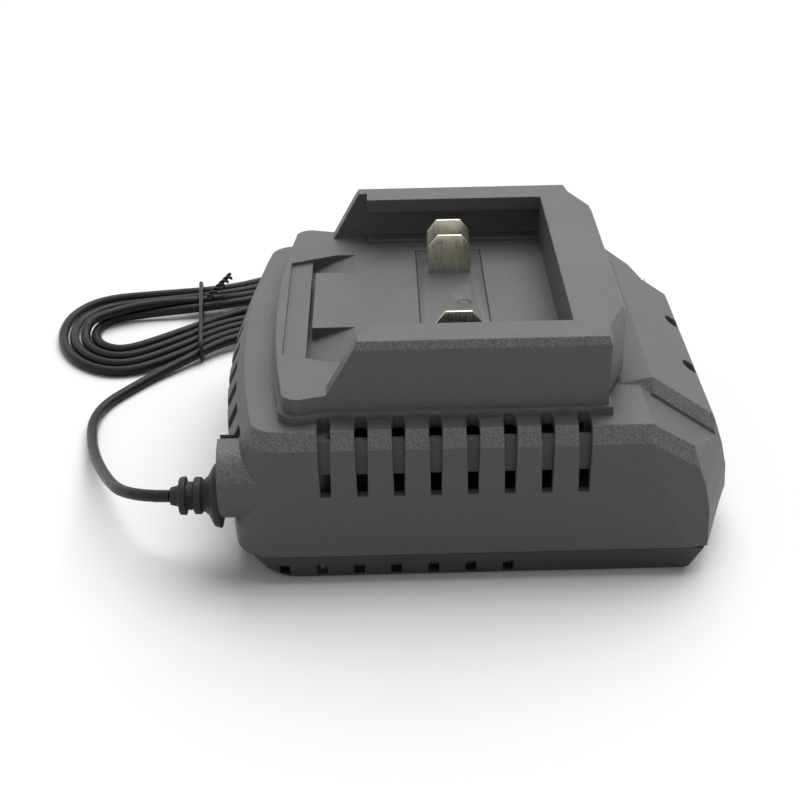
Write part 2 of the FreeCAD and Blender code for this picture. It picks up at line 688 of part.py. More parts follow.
def cord_route():
    """The free stretch, from the boot round the corner of the case to the hank."""
    start = (BOOT_END_X - 1.8, EXIT_Y, EXIT_Z)
    end = hank_point(HANK_START)
    lead = end - hank_tangent(HANK_START) * 11.0
    return [start] + CORD_CORNERS + [(lead.x, lead.y, lead.z), (end.x, end.y, end.z)]


def plug_route():
    start = hank_point(HANK_END)
    lead = start + hank_tangent(HANK_END) * 14.0
    return [(start.x, start.y, start.z), (lead.x, lead.y, lead.z + 0.8)] + PLUG_LEAD_CORNERS + [
        (PLUG_BACK_X - 13, PLUG_Y, PLUG_Z), (PLUG_BACK_X + 4, PLUG_Y, PLUG_Z)]


def twist_tie():
    """A coated wire once round the waist of the hank."""
    near = -HANK_WAIST - 7.6
    far = HANK_WAIST + 2.4
    low = TIE_R + 0.02
    high = HANK_Z + TIE_LIFT + CORD_R + 1.3
    c = math.cos(HANK_TILT)
    s = math.sin(HANK_TILT)

    def at(y, z):
        x = TIE_X + TIE_SLANT * y
        return (HANK_X + x * c - y * s, HANK_Y + x * s + y * c, z)
    route = [at(0, low), at(far, low), at(far, high), at(near, high), at(near, low), at(-3, low)]
    return tube(route, TIE_R)[0]


def plug_body():
    x = PLUG_BACK_X
    half = PLUG_HALF_W
    end = PLUG_LENGTH
    side = [(8, 6), (14, half), (end - 3, half + 0.6), (end, half - 0.4)]
    pts = [(x + px, PLUG_Y - py) for px, py in side] + [(x + px, PLUG_Y + py) for px, py in reversed(side)]
    body = prism_xy(pts, PLUG_Z - PLUG_HALF_H, PLUG_Z + PLUG_HALF_H)
    edges = [e for e in body.Edges if abs(e.Vertexes[0].Z - e.Vertexes[-1].Z) < 0.1]
    body = body.makeFillet(2.4, edges)
    neck = Part.makeCone(2.6, 4.4, 9, V(x, PLUG_Y, PLUG_Z), V(1, 0, 0))
    body = body.fuse(neck)
    body = body.cut(rod_x(x - 1, x + 4, PLUG_Y, PLUG_Z, CORD_R))
    for side in (-1, 1):
        y = PLUG_Y + side * PIN_SPACING / 2
        body = body.cut(rod_x(x + end - PIN_ROOT, x + end + 1, y, PLUG_Z, PIN_ROOT_R))
    return body.removeSplitter()


def plug_pins():
    """Two round pins, each held in the plug by a thinner root."""
    pins = []
    face_x = PLUG_BACK_X + PLUG_LENGTH
    for side in (-1, 1):
        y = PLUG_Y + side * PIN_SPACING / 2
        pin = rod_x(face_x - PIN_ROOT, face_x, y, PLUG_Z, PIN_ROOT_R)
        pin = pin.fuse(rod_x(face_x, face_x + PIN_LENGTH - PIN_R, y, PLUG_Z, PIN_R))
        pin = pin.fuse(Part.makeSphere(PIN_R, V(face_x + PIN_LENGTH - PIN_R, y, PLUG_Z)))
        pins.append(pin.removeSplitter())
    return Part.makeCompound(pins)


def build():
    lead_start_x = -52.5
    mains_routes = [[(lead_start_x, EXIT_Y + s * 0.9, EXIT_Z), (-42, EXIT_Y + s * 0.9, EXIT_Z),
                     (-37.5, -35 + s * 2, EXIT_Z + 1), (-36.0, -26 + s * 3.0, TOP + 0.1)] for s in (-1, 1)]
    battery_routes = [[(BLADE_X + 1.7, y, 36.0), (8.0, y * 0.95, 36.8), (18.4, y * 0.8, 33.0),
                       (19.5, y * 0.72, TOP + 0.1)] for y in (BLADE_OUT_Y, -BLADE_OUT_Y)]
    nodes = {
        "upper_housing": upper_housing(),
        "lower_housing": lower_housing(),
        "terminal_block": terminal_block(),
        "positive_blade": blade(BLADE_OUT_Y, BLADE_TOP_Z),
        "signal_blade": blade(BLADE_IN_Y, BLADE_TOP_Z - 0.8),
        "negative_blade": blade(-BLADE_OUT_Y, BLADE_TOP_Z),
        "circuit_board": circuit_board(),
        "transformer_core": transformer_core(),
        "transformer_bobbin": transformer_bobbin(),
        "input_capacitor": capacitor(-30, 22, 8.0, 24),
        "output_capacitors": Part.makeCompound([capacitor(26, 16, 5.0, 16), capacitor(26, 28, 5.0, 16)]),
        "heat_sink": heat_sink(),
        "power_transistor": transistor(),
        "bridge_rectifier": bridge_rectifier(),
        "fuse": fuse_link(),
        "choke": choke(),
        "light_board": led_board(),
        "green_light": status_light(LIGHT_Y[1]),
        "red_light": status_light(LIGHT_Y[0]),
        "mains_leads": leads(mains_routes, 0.8),
        "battery_leads": leads(battery_routes, 0.9),
        "case_screws": Part.makeCompound([screw(x, y, 0.6, 14.0, 2.8, 1.3) for x, y in SCREW_AT]),
        "board_screws": Part.makeCompound([
            screw(x, y, TOP, 6.0, 2.4, 1.0).mirror(V(0, 0, TOP + 0.8), V(0, 0, 1)) for x, y in POST_AT]),
        "strain_relief": strain_relief(),
        "mains_cord": tube([tuple(p) for p in cord_route()], CORD_R)[0],
        "cord_hank": cord_hank(),
        "plug_lead": tube([tuple(p) for p in plug_route()], CORD_R)[0],
        "twist_tie": twist_tie(),
        "plug_body": plug_body(),
        "plug_pins": plug_pins(),
    }
    os.makedirs("parts", exist_ok=True)
    for name, shape in nodes.items():
        shape.exportStep("parts/" + name + ".step")
        b = shape.BoundBox
        print("%-20s %d solid(s) valid=%s  x %.1f..%.1f y %.1f..%.1f z %.1f..%.1f  %.0f mm3"
              % (name, len(shape.Solids), shape.isValid(), b.XMin, b.XMax, b.YMin, b.YMax, b.ZMin, b.ZMax,
                 shape.Volume))


build()
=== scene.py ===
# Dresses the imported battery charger: its cases, dock, terminals, lights, board parts, mains lead
# in a tied hank, plug, and a plain pale studio. Metres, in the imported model's own frame.
import math

import bpy
from mathutils import Matrix, Vector


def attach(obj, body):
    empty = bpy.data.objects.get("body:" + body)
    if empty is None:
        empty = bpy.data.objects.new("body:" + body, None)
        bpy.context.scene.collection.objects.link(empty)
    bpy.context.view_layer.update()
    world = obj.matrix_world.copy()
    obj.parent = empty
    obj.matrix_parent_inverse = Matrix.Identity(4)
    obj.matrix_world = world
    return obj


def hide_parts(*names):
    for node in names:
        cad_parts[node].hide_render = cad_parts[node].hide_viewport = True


bl_info = {
    "name": "Battery Charger",
    "version": (1, 0, 0),
    "blender": (4, 5, 0),
    "location": "3D View > Sidebar > Charger",
    "description": "Finishes the battery charger piece by piece on its packed frame",
    "category": "Object",
}

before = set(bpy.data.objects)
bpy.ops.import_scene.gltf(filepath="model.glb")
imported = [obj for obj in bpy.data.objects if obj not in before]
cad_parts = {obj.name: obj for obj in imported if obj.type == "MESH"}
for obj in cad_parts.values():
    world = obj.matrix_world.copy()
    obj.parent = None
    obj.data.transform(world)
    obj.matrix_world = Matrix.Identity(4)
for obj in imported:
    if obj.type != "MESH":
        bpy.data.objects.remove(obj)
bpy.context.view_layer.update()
MM = 0.001

# The camera was fitted to the photograph: place, tilt and lens of the view it was taken with
CAMERA_AT = Vector((-20.46, -304.29, 197.52)) * MM
CAMERA_DOWN = math.radians(30.633)
CAMERA_RIGHT = math.radians(0.592)
CAMERA_ROLL = math.radians(-1.048)
CAMERA_LENS = 63.83
SENSOR_WIDTH = 36.0
NEAREST_SEEN = 0.01

# Mains lead, the same named sizes as the source of the part
CORD_D = 2.8
EXIT = (-69.4, -41.6, 18.4)
CORD_CORNERS = ((-79.8, -38.8, 16.6), (-89.0, -18.5, 8.6), (-97.0, 5.0, 2.8), (-99.5, 25.0, 1.5))
PLUG_LEAD_CORNERS = ((-39.0, 83.5, 9.0), (-23.0, 81.5, 8.6))
RUN_IN = 11.0
RUN_OUT = 14.0
RUN_OUT_RISE = 0.8
HANK_X = -66.0
HANK_Y = 79.0
HANK_TILT = math.radians(18.0)
HANK_START = -0.07
HANK_END = 4.0
HANK_LEFT = 54.5
HANK_RIGHT = 44.0
HANK_LEFT_BULGE = 47.0
HANK_RIGHT_BULGE = 36.0
HANK_WAIST = 15.5
HANK_PINCH = 0.62
STRAND_STEP = 3.3
TIE_LIFT = 2.2
POINTS_PER_TURN = 16

# How the render's loops differ from the source's even ones
INNER_NARROWING = 0.057
SECOND_LOOP_SHARE = 0.22
CROSSING_HEIGHT = 1.04
CROSSING_RAMP = 0.35

LEAD_LENGTH = 1.10
PLUG_Y = 74.0
PLUG_Z = 7.0
PLUG_BACK_X = 6.0

# Twisted tails of the tie
TIE_WIRE_R = 0.00055
TIE_WIRE_APART = 0.00062
TIE_WIRE_SIDES = 10
TIE_TURN_LENGTH = 0.0042
TIE_TURNS = 3
TIE_STEPS = 16
TIE_AT = Vector((-73.5, 79.5, 7.6)) * MM
TIE_HEADING = math.radians(62)
TIE_LEAN = math.radians(82)

# Floor and lamp
FLOOR_SIZE = 8.0
LAMP_SPREAD = math.radians(60)
LAMP_TOWARDS = Vector((-0.22, -0.42, -1.0))


class ChargerFinish(bpy.types.PropertyGroup):
    """Colours and surface of the charger's mouldings and metal."""
    case_colour: bpy.props.FloatVectorProperty(
        name="Case", description="Dark grey of the upper moulding", subtype="COLOR",
        size=3, min=0, max=1, default=(0.082, 0.087, 0.085))
    base_colour: bpy.props.FloatVectorProperty(
        name="Base", description="Slightly warmer grey of the lower moulding", subtype="COLOR",
        size=3, min=0, max=1, default=(0.034, 0.036, 0.034))
    insert_colour: bpy.props.FloatVectorProperty(
        name="Terminal plate", description="Grey of the plate that holds the blades", subtype="COLOR",
        size=3, min=0, max=1, default=(0.072, 0.077, 0.077))
    rubber_colour: bpy.props.FloatVectorProperty(
        name="Boot", description="Colour of the strain relief", subtype="COLOR",
        size=3, min=0, max=1, default=(0.028, 0.030, 0.029))
    cord_colour: bpy.props.FloatVectorProperty(
        name="Cord", description="Colour of the cord's jacket and the plug", subtype="COLOR",
        size=3, min=0, max=1, default=(0.012, 0.013, 0.014))
    blade_colour: bpy.props.FloatVectorProperty(
        name="Blades", description="Nickel plate of the battery blades", subtype="COLOR",
        size=3, min=0, max=1, default=(0.50, 0.48, 0.41))
    grain_size: bpy.props.FloatProperty(
        name="Grain size", description="Width of one pit of the moulded grain", subtype="DISTANCE",
        unit="LENGTH", precision=5, min=0.0001, default=0.00038)


class ChargerLead(bpy.types.PropertyGroup):
    """Sizes of the mains lead."""
    diameter: bpy.props.FloatProperty(
        name="Diameter", description="Outside diameter of the cord", subtype="DISTANCE",
        unit="LENGTH", precision=5, default=CORD_D * MM)
    length: bpy.props.FloatProperty(
        name="Length", description="Whole length from the boot to the plug", subtype="DISTANCE",
        unit="LENGTH", default=LEAD_LENGTH)
    sag: bpy.props.FloatProperty(
        name="Sag", description="How far the inner loops stray at the open end, in millimetres", default=6.5)


class ChargerStage(bpy.types.PropertyGroup):
    """Floor, lamps and backdrop."""
    floor_colour: bpy.props.FloatVectorProperty(
        name="Floor", description="Colour of the floor as the camera sees it", subtype="COLOR",
        size=3, min=0, max=1, default=(0.96, 0.96, 0.96))
    bounce_colour: bpy.props.FloatVectorProperty(
        name="Bounce", description="Colour of the floor for the light it throws back", subtype="COLOR",
        size=3, min=0, max=1, default=(0.55, 0.55, 0.55))
    key_strength: bpy.props.FloatProperty(
        name="Key", description="Strength of the broad overhead lamp", min=0, default=2.75)
    fill_strength: bpy.props.FloatProperty(
        name="Fill", description="Strength of the even light from all round", min=0, default=0.27)


# Small helpers


def activate(piece):
    """Leaves only this piece selected, and makes it the active one."""
    bpy.ops.object.select_all(action="DESELECT")
    piece.select_set(True)
    bpy.context.view_layer.objects.active = piece


def apply_modifier(piece, kind, **settings):
    """Adds a modifier with these settings and applies it at once."""
    modifier = piece.modifiers.new(kind.title(), kind)
    for name, value in settings.items():
        setattr(modifier, name, value)
    activate(piece)
    bpy.ops.object.modifier_apply(modifier=modifier.name)


def place(piece, matrix):
    """Puts a piece where the matrix says by moving its mesh, so its object stays at the origin."""
    piece.data.transform(matrix)
    piece.matrix_world = Matrix.Identity(4)


def wear(piece, material):
    """Gives a piece its material."""
    piece.data.materials.clear()
    piece.data.materials.append(material)


def softened(node, name, radius, segments=2, sharp=28.0):
    """A copy of a CAD node with rounded edges, which stands for the node."""
    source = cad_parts[node]
    piece = bpy.data.objects.new(name, source.data.copy())
    bpy.context.scene.collection.objects.link(piece)
    activate(piece)
    bpy.ops.object.mode_set(mode="EDIT")
    bpy.ops.mesh.select_all(action="SELECT")
    bpy.ops.mesh.customdata_custom_splitnormals_clear()
    bpy.ops.mesh.remove_doubles(threshold=2e-6)
    bpy.ops.mesh.dissolve_limited(angle_limit=math.radians(0.5))
    bpy.ops.object.mode_set(mode="OBJECT")
    apply_modifier(piece, "BEVEL", width=radius, segments=segments, limit_method="ANGLE",
                   angle_limit=math.radians(sharp), use_clamp_overlap=False, loop_slide=True,
                   miter_outer="MITER_SHARP")
    activate(piece)
    bpy.ops.object.shade_smooth_by_angle(angle=math.radians(38))
    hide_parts(node)
    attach(piece, "root")
    return piece


# Shared shader groups


def group(name, inputs, outputs):
    """An empty shader group with named sockets, and its two end nodes."""
    tree = bpy.data.node_groups.new(name, "ShaderNodeTree")
    for label, kind, default in inputs:
        socket = tree.interface.new_socket(name=label, in_out="INPUT", socket_type=kind)
        socket.default_value = default
    for label, kind in outputs:
        tree.interface.new_socket(name=label, in_out="OUTPUT", socket_type=kind)
    return tree, tree.nodes.new("NodeGroupInput"), tree.nodes.new("NodeGroupOutput")


def math_node(tree, operation, a, b=None, clamp=False):
    """One sum in a shader tree. Either side may be a socket or a number."""
    node = tree.nodes.new("ShaderNodeMath")
    node.operation = operation
    node.use_clamp = clamp
    for socket, value in zip(node.inputs, (a, b)):
        if value is None:
            continue
        if isinstance(value, (int, float)):
            socket.default_value = value
        else:
            tree.links.new(value, socket)
    return node.outputs[0]


def ranged(tree, value, low, high, to_low=0.0, to_high=1.0):
    """Maps a value between two limits to two others, and holds it within them."""
    node = tree.nodes.new("ShaderNodeMapRange")
    tree.links.new(value, node.inputs["Value"])
    node.inputs["From Min"].default_value = low
    node.inputs["From Max"].default_value = high
    node.inputs["To Min"].default_value = to_low
    node.inputs["To Max"].default_value = to_high
    return node.outputs["Result"]


def noise(tree, vector, scale, detail=2.0, rough=0.5):
    """Cloudy noise. The scale may be a socket or a number."""
    node = tree.nodes.new("ShaderNodeTexNoise")
    tree.links.new(vector, node.inputs["Vector"])
    if isinstance(scale, (int, float)):
        node.inputs["Scale"].default_value = scale
    else:
        tree.links.new(scale, node.inputs["Scale"])
    node.inputs["Detail"].default_value = detail
    node.inputs["Roughness"].default_value = rough
    return node.outputs["Fac"]


def grain_group():
    """Spark-eroded mould grain: shallow pits, with a speckle that follows them."""
    tree, entry, leave = group("Moulded Grain", [("Size", "NodeSocketFloat", 0.0006)],
                               [("Height", "NodeSocketFloat"), ("Speckle", "NodeSocketFloat")])
    coords = tree.nodes.new("ShaderNodeTexCoord")
    scale = math_node(tree, "DIVIDE", 1.0, entry.outputs["Size"])
    pits = tree.nodes.new("ShaderNodeTexVoronoi")
    pits.feature = "SMOOTH_F1"
    pits.inputs["Smoothness"].default_value = 0.6
    tree.links.new(coords.outputs["Object"], pits.inputs["Vector"])
    tree.links.new(scale, pits.inputs["Scale"])
    rough = noise(tree, coords.outputs["Object"], scale, 3.0, 0.6)
    height = math_node(tree, "ADD", math_node(tree, "MULTIPLY", pits.outputs["Distance"], 0.6), rough)
    tree.links.new(height, leave.inputs["Height"])
    tree.links.new(ranged(tree, height, 0.55, 1.05), leave.inputs["Speckle"])
    return tree


def band_group():
    """1 on the slanting bands along the long sides, the faces that look sideways and up, which carry a
    coarser grain and a painted highlight, and 0 elsewhere.
    """
    tree, entry, leave = group("Slanting Band", [("Low", "NodeSocketFloat", 0.35)],
                               [("Mask", "NodeSocketFloat")])
    flat = tree.nodes.new("ShaderNodeNewGeometry")
    split = tree.nodes.new("ShaderNodeSeparateXYZ")
    tree.links.new(flat.outputs["True Normal"], split.inputs[0])
    sideways = math_node(tree, "ABSOLUTE", split.outputs["Y"])
    outwards = math_node(tree, "GREATER_THAN", sideways, entry.outputs["Low"])
    up = math_node(tree, "GREATER_THAN", split.outputs["Z"], entry.outputs["Low"])
    tree.links.new(math_node(tree, "MULTIPLY", outwards, up), leave.inputs["Mask"])
    return tree


def edge_group():
    """Where edges are rubbed: a mask that breaks up along each edge, and a rounded normal."""
    tree, entry, leave = group("Rubbed Edge", [("Radius", "NodeSocketFloat", 0.0005)],
                               [("Mask", "NodeSocketFloat"), ("Normal", "NodeSocketVector")])
    rounded = tree.nodes.new("ShaderNodeBevel")
    rounded.samples = 4
    tree.links.new(entry.outputs["Radius"], rounded.inputs["Radius"])
    flat = tree.nodes.new("ShaderNodeNewGeometry")
    dot = tree.nodes.new("ShaderNodeVectorMath")
    dot.operation = "DOT_PRODUCT"
    tree.links.new(rounded.outputs["Normal"], dot.inputs[0])
    tree.links.new(flat.outputs["True Normal"], dot.inputs[1])
    edge = ranged(tree, dot.outputs["Value"], 0.99, 0.86)
    coords = tree.nodes.new("ShaderNodeTexCoord")
    patches = ranged(tree, noise(tree, coords.outputs["Object"], 160.0, 3.0), 0.42, 0.68)
    tree.links.new(math_node(tree, "MULTIPLY", edge, patches), leave.inputs["Mask"])
    tree.links.new(rounded.outputs["Normal"], leave.inputs["Normal"])
    return tree


def dust_group():
    """A thin film of dust that settles on faces that look up."""
    tree, entry, leave = group("Settled Dust", [("Amount", "NodeSocketFloat", 0.2)],
                               [("Mask", "NodeSocketFloat")])
    flat = tree.nodes.new("ShaderNodeNewGeometry")
    split = tree.nodes.new("ShaderNodeSeparateXYZ")
    tree.links.new(flat.outputs["Normal"], split.inputs[0])
    up = ranged(tree, split.outputs["Z"], 0.45, 0.95)
    coords = tree.nodes.new("ShaderNodeTexCoord")
    cloud = ranged(tree, noise(tree, coords.outputs["Object"], 45.0, 4.0), 0.35, 0.75)
    specks = ranged(tree, noise(tree, coords.outputs["Object"], 2600.0, 1.0), 0.60, 0.72)
    both = math_node(tree, "ADD", math_node(tree, "MULTIPLY", cloud, 0.6), specks, clamp=True)
    masked = math_node(tree, "MULTIPLY", both, up)
    tree.links.new(math_node(tree, "MULTIPLY", masked, entry.outputs["Amount"]), leave.inputs["Mask"])
    return tree


def scuff_group():
    """Fine scratches and slow colour change, for metal, rubber and jacket."""
    tree, entry, leave = group("Fine Scuffs", [("Size", "NodeSocketFloat", 0.001)],
                               [("Mask", "NodeSocketFloat"), ("Slow", "NodeSocketFloat")])
    coords = tree.nodes.new("ShaderNodeTexCoord")
    scale = math_node(tree, "DIVIDE", 1.0, entry.outputs["Size"])
    stretch = tree.nodes.new("ShaderNodeMapping")
    stretch.inputs["Scale"].default_value = (1.0, 1.0, 0.18)
    tree.links.new(coords.outputs["Object"], stretch.inputs["Vector"])
    lines = noise(tree, stretch.outputs["Vector"], scale, 4.0, 0.7)
    tree.links.new(ranged(tree, lines, 0.40, 0.66), leave.inputs["Mask"])
    tree.links.new(noise(tree, coords.outputs["Object"], 60.0, 2.0), leave.inputs["Slow"])
    return tree


GROUPS = {}
MATERIALS = {}


def shared(name):
    """Builds each shader group once."""
    makers = {"grain": grain_group, "edge": edge_group, "dust": dust_group, "scuff": scuff_group,
              "band": band_group}
    if name not in GROUPS:
        GROUPS[name] = makers[name]()
    return GROUPS[name]


def use_group(tree, name, **values):
    """Puts a shared shader group into a tree, with its inputs set."""
    node = tree.nodes.new("ShaderNodeGroup")
    node.node_tree = shared(name)
    for label, value in values.items():
        node.inputs[label.replace("_", " ")].default_value = value
    return node


def mixed(tree, factor, a, b):
    """A colour between a and b. Either may be a socket or a plain colour."""
    node = tree.nodes.new("ShaderNodeMix")
    node.data_type = "RGBA"
    tree.links.new(factor, node.inputs["Factor"])
    ends = [s for s in node.inputs if s.type == "RGBA"]
    for socket, value in zip(ends, (a, b)):
        if isinstance(value, bpy.types.NodeSocket):
            tree.links.new(value, socket)
        else:
            socket.default_value = (*value, 1.0)
    return [s for s in node.outputs if s.type == "RGBA"][0]


def tinted(colour, factor):
    """The colour made lighter or darker."""
    return tuple(min(1.0, c * factor) for c in colour)


def start_material(name, **sockets):
    """A new material, its tree, and its shader with the named sockets set."""
    material = bpy.data.materials.new(name)
    material.use_nodes = True
    tree = material.node_tree
    shader = tree.nodes["Principled BSDF"]
    for label, value in sockets.items():
        shader.inputs[label.replace("_", " ")].default_value = value
    return material, tree, shader


EDGE_RADIUS = 0.0005
DUST_COLOUR = (0.34, 0.34, 0.32)


def moulded(name, colour, rough, grain_depth, dust=0.10):
    """A grained plastic moulding with rubbed edges, a little dust, and a painted highlight on the slanting
    bands.
    """
    if name in MATERIALS:
        return MATERIALS[name]
    finish = bpy.context.scene.charger_finish
    material, tree, shader = start_material(name)
    grain = use_group(tree, "grain", Size=finish.grain_size)
    rubbed = use_group(tree, "edge", Radius=EDGE_RADIUS)
    film = use_group(tree, "dust", Amount=dust)
    fine = mixed(tree, grain.outputs["Speckle"], tinted(colour, 0.92), tinted(colour, 1.10))
    # On the slanting bands the grain is coarser, and its tone is lifted well above the case colour as a
    # painted highlight.
    coarse_grain_and_highlight = mixed(tree, grain.outputs["Speckle"], tinted(colour, 0.70), tinted(colour, 1.95))
    band = use_group(tree, "band")
    grain_and_band_highlight = mixed(tree, band.outputs["Mask"], fine, coarse_grain_and_highlight)
    rub = math_node(tree, "MULTIPLY", rubbed.outputs["Mask"], 0.40)
    worn = mixed(tree, rub, grain_and_band_highlight, tinted(colour, 2.1))
    dusty = mixed(tree, film.outputs["Mask"], worn, DUST_COLOUR)
    tree.links.new(dusty, shader.inputs["Base Color"])
    spread = ranged(tree, grain.outputs["Speckle"], 0.0, 1.0, rough + 0.06, rough - 0.06)
    polish = math_node(tree, "MULTIPLY", rubbed.outputs["Mask"], 0.12)
    tree.links.new(math_node(tree, "SUBTRACT", spread, polish), shader.inputs["Roughness"])
    bump = tree.nodes.new("ShaderNodeBump")
    bump.inputs["Strength"].default_value = 0.8
    bump.inputs["Distance"].default_value = grain_depth
    tree.links.new(grain.outputs["Height"], bump.inputs["Height"])
    tree.links.new(rubbed.outputs["Normal"], bump.inputs["Normal"])
    tree.links.new(bump.outputs["Normal"], shader.inputs["Normal"])
    MATERIALS[name] = material
    return material


def scuffed(name, colour, rough, metallic=0.0, size=0.0008, depth=0.00001, contrast=0.14, gloss=0.5):
    """Metal, rubber or jacket, with fine scuffs and a slow change of colour."""
    if name in MATERIALS:
        return MATERIALS[name]
    material, tree, shader = start_material(name)
    if metallic:
        shader.inputs["Metallic"].default_value = metallic
    shader.inputs["Specular IOR Level"].default_value = gloss
    scuffs = use_group(tree, "scuff", Size=size)
    darker, lighter = tinted(colour, 1.0 - contrast), tinted(colour, 1.0 + contrast)
    slow = mixed(tree, scuffs.outputs["Slow"], darker, lighter)
    marks = math_node(tree, "MULTIPLY", scuffs.outputs["Mask"], 0.18)
    marked = mixed(tree, marks, slow, tinted(colour, 1.45))
    bump = tree.nodes.new("ShaderNodeBump")
    bump.inputs["Distance"].default_value = depth
    bump.inputs["Strength"].default_value = 0.6
    tree.links.new(marked, shader.inputs["Base Color"])
    spread = ranged(tree, scuffs.outputs["Mask"], 0.0, 1.0, rough - 0.05, rough + 0.09)
    tree.links.new(spread, shader.inputs["Roughness"])
    tree.links.new(scuffs.outputs["Mask"], bump.inputs["Height"])
    tree.links.new(bump.outputs["Normal"], shader.inputs["Normal"])
    MATERIALS[name] = material
    return material


# The mains lead


def hank_loop(m):
    """One loop of the hank's outermost line, pinched where the tie holds it."""
    turn = 2 * math.pi * (m + 0.75)
    u = math.cos(turn)
    length = HANK_LEFT if u < 0 else HANK_RIGHT
    bulge = HANK_LEFT_BULGE if u < 0 else HANK_RIGHT_BULGE
    bulge *= 1 - INNER_NARROWING * max(0.0, m - 0.5)
    pinch = math.exp(-(u / HANK_PINCH) ** 2)
    return length * u, math.sin(turn) * (bulge - (bulge - HANK_WAIST) * pinch)


def strand_shift(m, sag):
    """How far the loops at the open end stray from even spacing: across the hank, and up."""
    turn = 2 * math.pi * (m + 0.75)
    u = math.cos(turn)
    side = math.sin(turn)
    if u > 0 or side <= 0:
        return 0.0, 0.0
    loop = int(m)
    mid = (2 * u * side) ** 2
    if loop == 1:
        return -SECOND_LOOP_SHARE * sag * mid, 0.0
    if loop == 2:
        return -sag * mid, CORD_D * CROSSING_HEIGHT * min(1.0, mid / CROSSING_RAMP)
    return 0.0, 0.0


def hank_point(m, sag=0.0):
    """A point of the hank, in millimetres. Each turn lies one step inside the last."""
    step = 1e-4
    x, y = hank_loop(m)
    x0, y0 = hank_loop(m - step)
    x1, y1 = hank_loop(m + step)
    run = math.hypot(x1 - x0, y1 - y0)
    x -= (y1 - y0) / run * STRAND_STEP * m
    y += (x1 - x0) / run * STRAND_STEP * m
    z = CORD_D / 2 + TIE_LIFT * math.exp(-(x / HANK_RIGHT / 0.5) ** 2)
    across, up = strand_shift(m, sag)
    y += across
    z += up
    c = math.cos(HANK_TILT)
    s = math.sin(HANK_TILT)
    return Vector((HANK_X + x * c - y * s, HANK_Y + x * s + y * c, z))


def hank_direction(m):
    """The way the lead runs at a point of the hank."""
    step = 1e-4
    return (hank_point(m + step) - hank_point(m - step)).normalized()


def lead_points(sag):
    """The lead's control points: boot, corner of the case, the hank's turns, and the plug."""
    start = hank_point(HANK_START)
    end = hank_point(HANK_END)
    before = start - hank_direction(HANK_START) * RUN_IN
    after = end + hank_direction(HANK_END) * RUN_OUT + Vector((0, 0, RUN_OUT_RISE))
    points = [Vector(EXIT), *(Vector(corner) for corner in CORD_CORNERS), before]
    steps = round((HANK_END - HANK_START) * POINTS_PER_TURN)
    for i in range(steps + 1):
        points.append(hank_point(HANK_START + (HANK_END - HANK_START) * i / steps, sag))
    points += [after, *(Vector(corner) for corner in PLUG_LEAD_CORNERS)]
    points += [Vector((PLUG_BACK_X - 13, PLUG_Y, PLUG_Z)), Vector((PLUG_BACK_X + 4, PLUG_Y, PLUG_Z))]
    return [p * MM for p in points]


class CHARGER_OT_mains_lead(bpy.types.Operator):
    """Lay the mains lead from its boot into the tied hank and on to the plug"""
    bl_idname = "charger.mains_lead"
    bl_label = "Mains lead"

    def execute(self, context):
        lead = context.scene.charger_lead
        finish = context.scene.charger_finish
        curve = bpy.data.curves.new("mains_lead", "CURVE")
        curve.dimensions = "3D"
        spline = curve.splines.new("NURBS")
        points = lead_points(lead.sag)
        spline.points.add(len(points) - 1)
        for point, at in zip(spline.points, points):
            point.co = (*at, 1.0)
        spline.order_u = 3
        spline.use_endpoint_u = True
        spline.resolution_u = 6
        curve.bevel_depth = lead.diameter / 2
        curve.bevel_resolution = 4
        curve.use_fill_caps = True
        piece = bpy.data.objects.new("mains_lead", curve)
        context.scene.collection.objects.link(piece)
        jacket = scuffed("Cord jacket", tuple(finish.cord_colour), 0.34, size=0.0014, depth=0.000012,
                         gloss=0.18)
        wear(piece, jacket)
        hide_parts("mains_cord", "cord_hank", "plug_lead")
        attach(piece, "root")
        return {"FINISHED"}


class CHARGER_OT_boot(bpy.types.Operator):
    """Finish the rubber strain relief where the lead enters the case"""
    bl_idname = "charger.boot"
    bl_label = "Strain relief"

    def execute(self, context):
        finish = context.scene.charger_finish
        piece = softened("strain_relief", "boot", 0.00022)
        rubber = scuffed("Boot rubber", tuple(finish.rubber_colour), 0.50, size=0.0007, depth=0.00002,
                         gloss=0.2)
        wear(piece, rubber)
        return {"FINISHED"}


